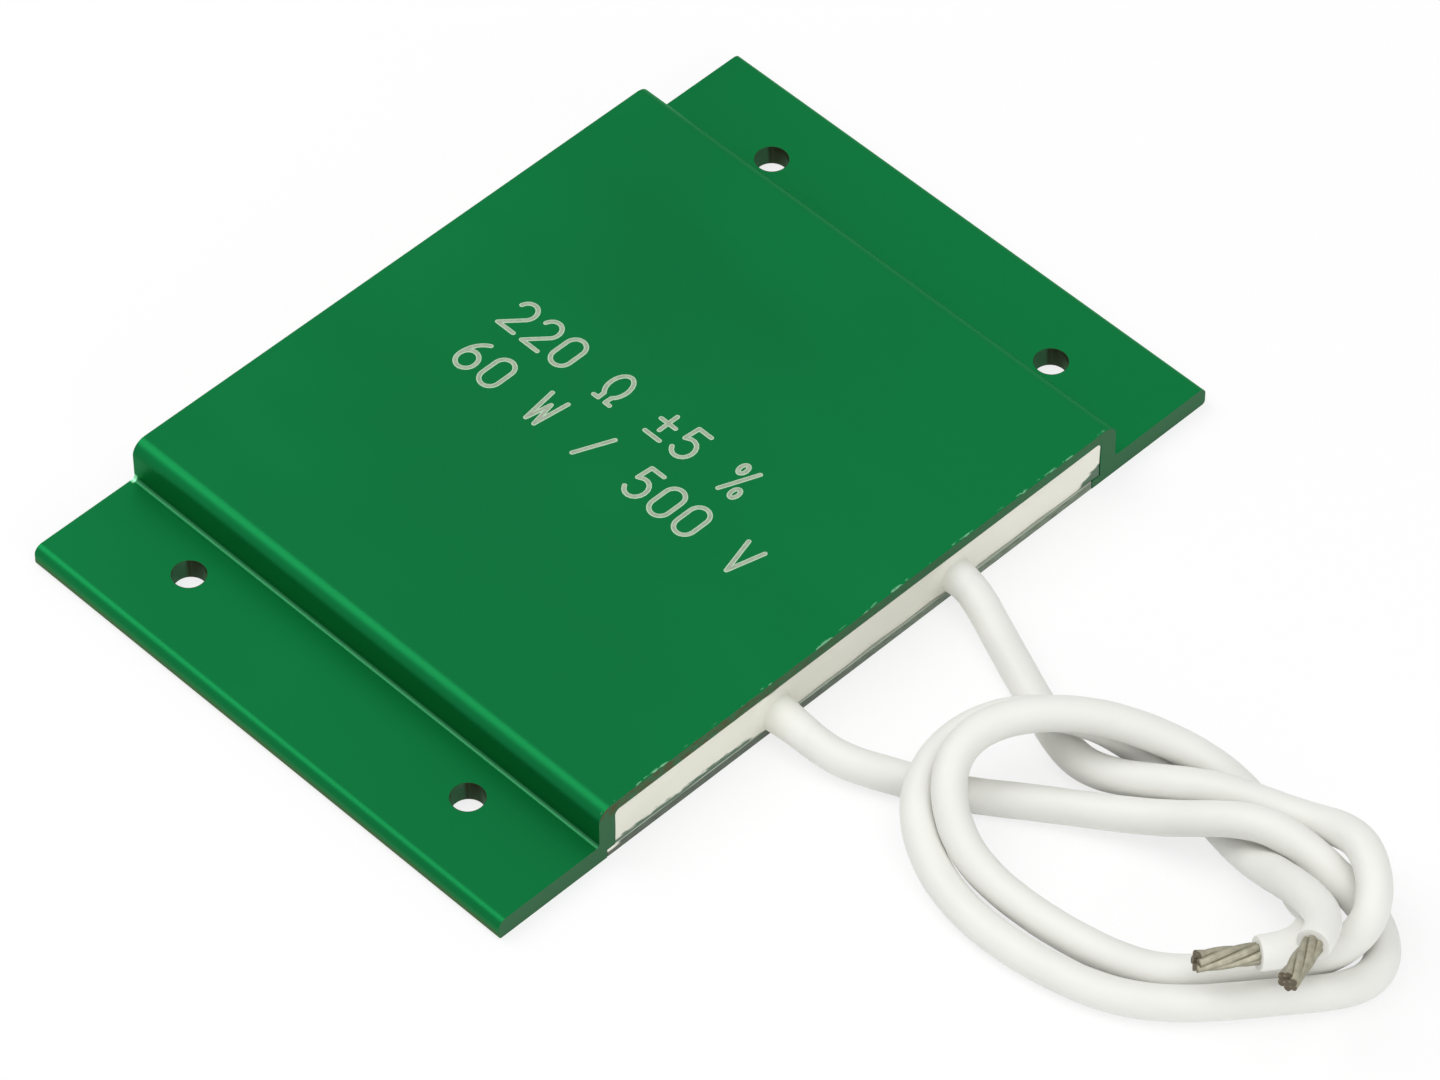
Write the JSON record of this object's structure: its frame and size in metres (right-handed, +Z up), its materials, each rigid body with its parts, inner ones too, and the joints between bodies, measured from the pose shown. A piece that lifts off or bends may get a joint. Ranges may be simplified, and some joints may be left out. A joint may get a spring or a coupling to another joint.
{
  "type": "power resistor",
  "caption": "Flat wire-wound power resistor: green aluminium hat-section housing with drilled side flanges, white compound at its ends and loose white leads.",
  "frame": {"origin": "middle of the underside, on the plane of the flanges and the base plate", "axes": "+Z up from the mounting face, +X across the width towards the right flange, +Y along the extrusion away from the leads, which leave towards -Y"},
  "size_m": [0.0886, 0.1176, 0.0135],
  "materials": {
    "housing_green": "satin",
    "plate_grey": "satin",
    "compound_white": "matte",
    "cement_grey": "matte",
    "mica_brown": "satin",
    "resistance_wire": "satin",
    "nickel": "satin",
    "silicone_white": "matte",
    "tinned_strand": "satin"
  },
  "bodies": {
    "root": {"housing": "housing_green", "base_plate": "plate_grey", "front_seal": "compound_white", "rear_seal": "compound_white", "filler": "cement_grey", "upper_insulator": "mica_brown", "lower_insulator": "mica_brown", "winding_card": "mica_brown", "resistance_winding": "resistance_wire", "terminal_left": "nickel", "terminal_right": "nickel", "terminal_rivets": "nickel", "barrel_left": "nickel", "barrel_right": "nickel", "lead_left": "silicone_white", "lead_right": "silicone_white", "strand_left": "tinned_strand", "strand_right": "tinned_strand"}
  },
  "joints": []
}
